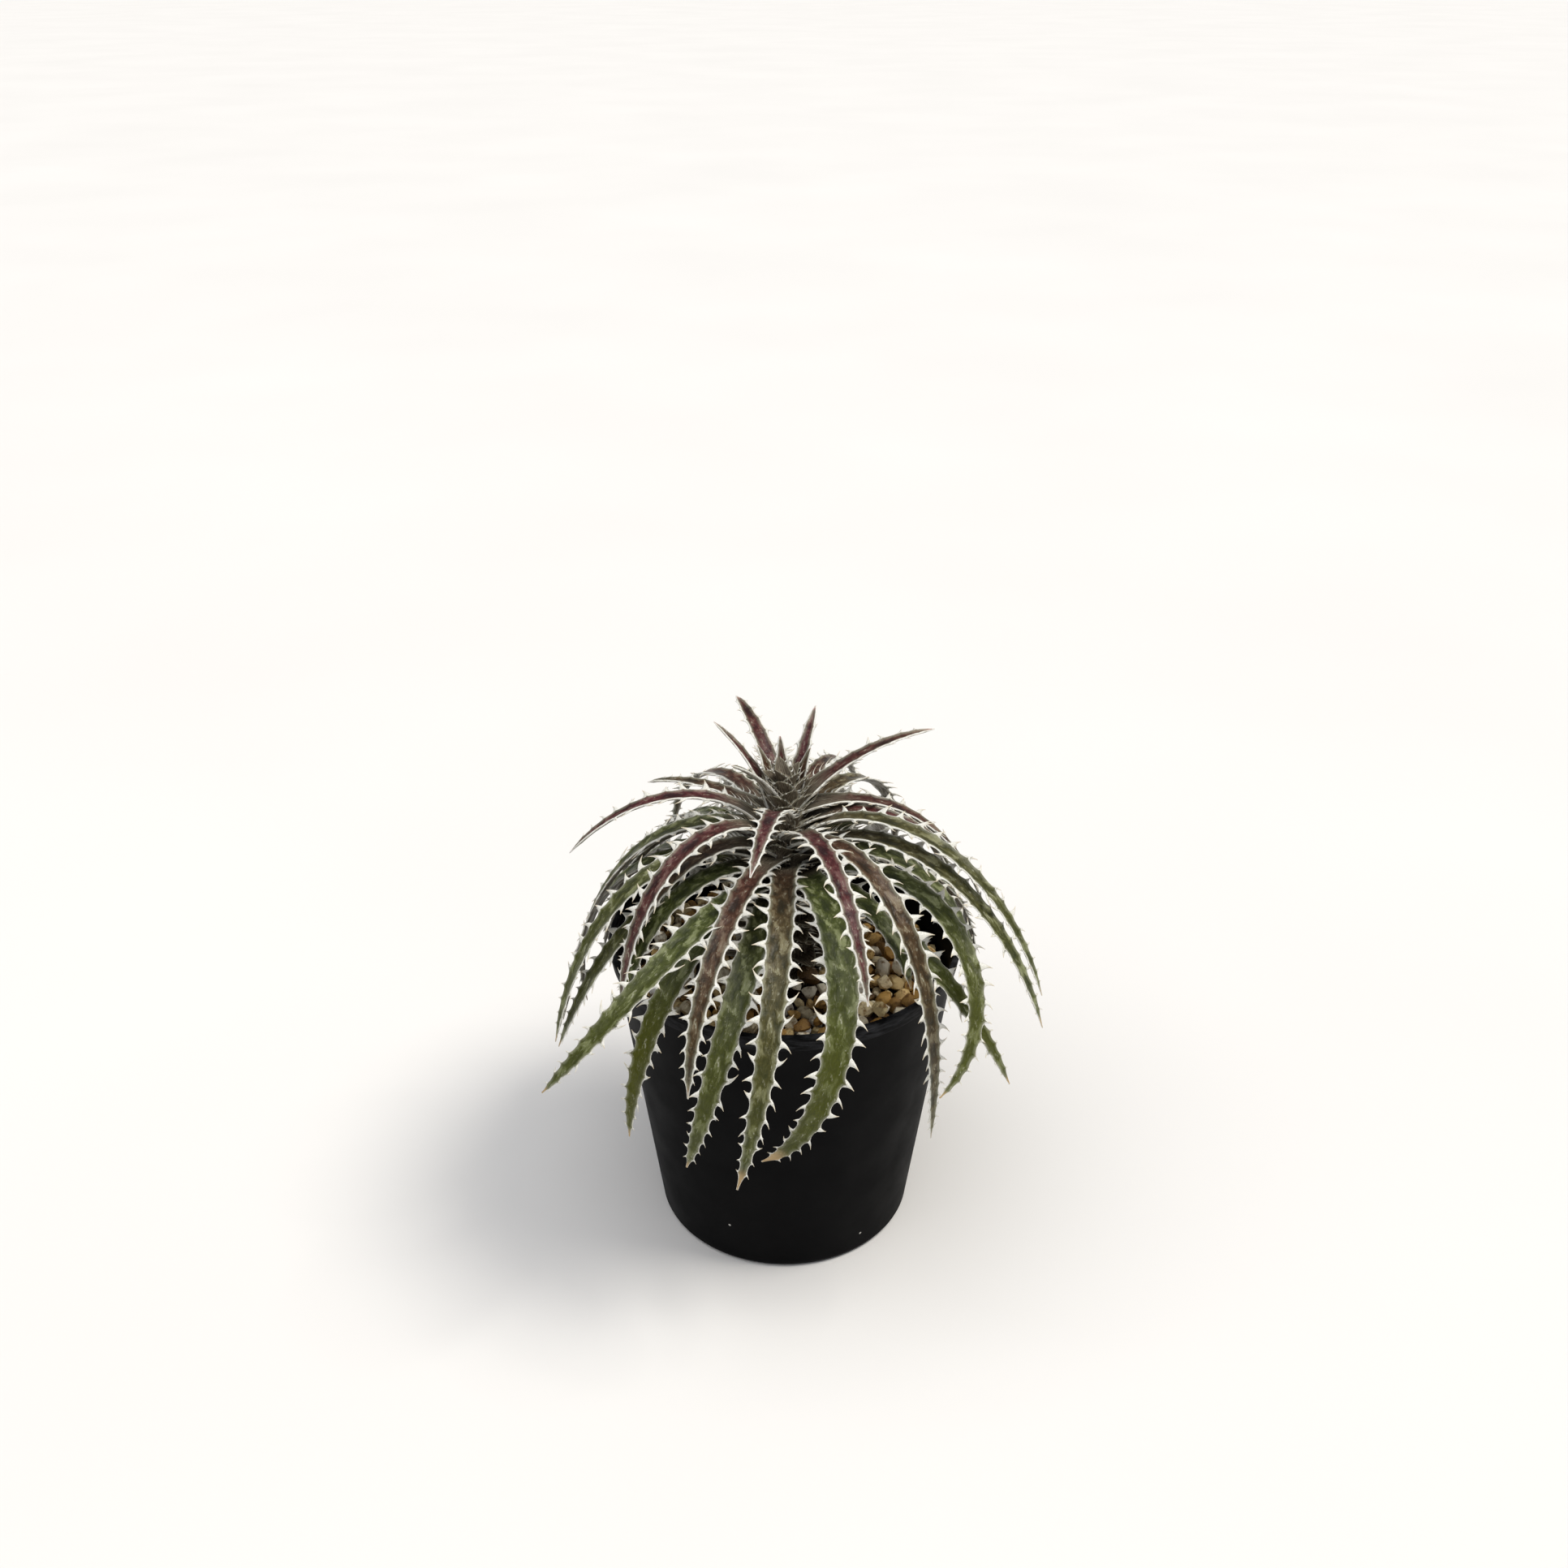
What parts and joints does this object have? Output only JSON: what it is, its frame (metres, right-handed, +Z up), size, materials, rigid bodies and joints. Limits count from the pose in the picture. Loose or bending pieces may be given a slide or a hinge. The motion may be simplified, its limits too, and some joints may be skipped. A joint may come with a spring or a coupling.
{
  "type": "potted dyckia",
  "caption": "Rosette of arching, hook-spined maroon and green succulent leaves on a short stem, in a round tapered black nursery pot topped with coarse ochre gravel.",
  "frame": {"origin": "centre of the pot's base, on the surface that it stands on", "axes": "+Z up along the pot's axis, -Y towards the plant's front, +X to the right seen from the front"},
  "size_m": [0.1721, 0.1964, 0.1942],
  "materials": {
    "pot": "smooth moulded black plastic, slightly dusty",
    "potting_mix": "dark loose potting mix",
    "gravel": "dry ochre and cream pumice gravel",
    "stem": "grey leaf bases and dry sheaths",
    "young_leaf": "maroon leaf with a silver scurf, white spines",
    "old_leaf": "green leaf with a silver scurf, white spines"
  },
  "bodies": {
    "root": {"pot": "pot", "potting_mix": "potting_mix", "gravel": "gravel", "stem": "stem", "leaf_01": "young_leaf", "leaf_02": "young_leaf", "leaf_03": "young_leaf", "leaf_04": "young_leaf", "leaf_05": "young_leaf", "leaf_06": "young_leaf", "leaf_07": "young_leaf", "leaf_08": "young_leaf", "leaf_09": "young_leaf", "leaf_10": "young_leaf", "leaf_11": "young_leaf", "leaf_12": "young_leaf", "leaf_13": "young_leaf", "leaf_14": "young_leaf", "leaf_15": "young_leaf", "leaf_16": "young_leaf", "leaf_17": "young_leaf", "leaf_18": "young_leaf", "leaf_19": "old_leaf", "leaf_20": "old_leaf", "leaf_21": "young_leaf", "leaf_22": "young_leaf", "leaf_23": "old_leaf", "leaf_24": "old_leaf", "leaf_25": "old_leaf", "leaf_26": "old_leaf", "leaf_27": "old_leaf", "leaf_28": "old_leaf", "leaf_29": "old_leaf", "leaf_30": "old_leaf", "leaf_31": "old_leaf", "leaf_32": "old_leaf", "leaf_33": "old_leaf", "leaf_34": "old_leaf", "leaf_35": "old_leaf", "leaf_36": "old_leaf", "leaf_37": "young_leaf", "leaf_38": "young_leaf", "leaf_39": "young_leaf", "leaf_40": "old_leaf", "leaf_41": "old_leaf", "leaf_42": "old_leaf", "leaf_43": "old_leaf", "leaf_44": "old_leaf", "leaf_45": "old_leaf", "leaf_46": "old_leaf", "leaf_47": "old_leaf", "leaf_48": "old_leaf", "leaf_49": "old_leaf", "leaf_50": "old_leaf"}
  },
  "joints": []
}
